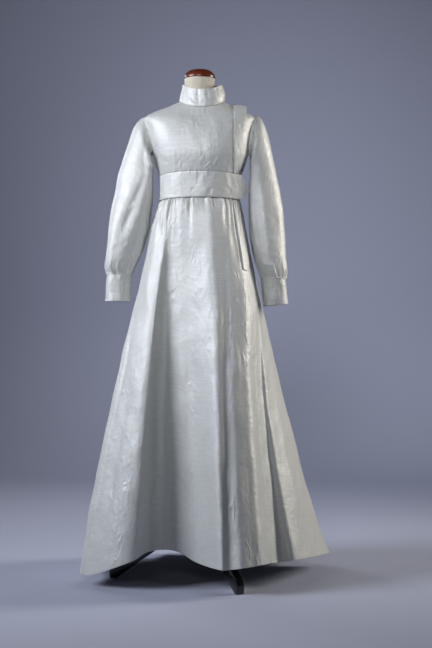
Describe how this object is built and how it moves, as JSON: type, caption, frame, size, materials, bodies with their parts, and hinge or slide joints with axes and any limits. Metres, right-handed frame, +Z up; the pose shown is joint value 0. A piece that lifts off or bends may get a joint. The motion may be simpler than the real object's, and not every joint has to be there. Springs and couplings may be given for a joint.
{
  "type": "evening gown on dress form",
  "caption": "Ivory silk empire-line gown with stand collar, bishop sleeves, midriff band and long gathered skirt, on a linen dress form.",
  "frame": {"origin": "middle of the footprint, on the floor that the stand's toes rest on", "axes": "+Z up; -Y is the gown's front; +X is the wearer's left, where the gown closes"},
  "size_m": [0.774, 0.7902, 1.559],
  "materials": {
    "silk": "satin",
    "linen": "matte",
    "cherry_wood": "satin",
    "black_lacquer": "gloss"
  },
  "bodies": {
    "root": {"bodice_front": "silk", "bodice_side_front": "silk", "bodice_back": "silk", "sleeve_right": "silk", "sleeve_left": "silk", "cuff_right": "silk", "cuff_left": "silk", "collar": "silk", "placket_bodice": "silk", "band_front": "silk", "band_back": "silk", "skirt_front": "silk", "skirt_back_left": "silk", "skirt_back_right": "silk", "placket_skirt": "silk", "form_body": "linen", "form_cap": "cherry_wood", "stand_pole": "black_lacquer", "stand_hub": "black_lacquer", "stand_leg_1": "black_lacquer", "stand_leg_2": "black_lacquer", "stand_leg_3": "black_lacquer"}
  },
  "joints": []
}
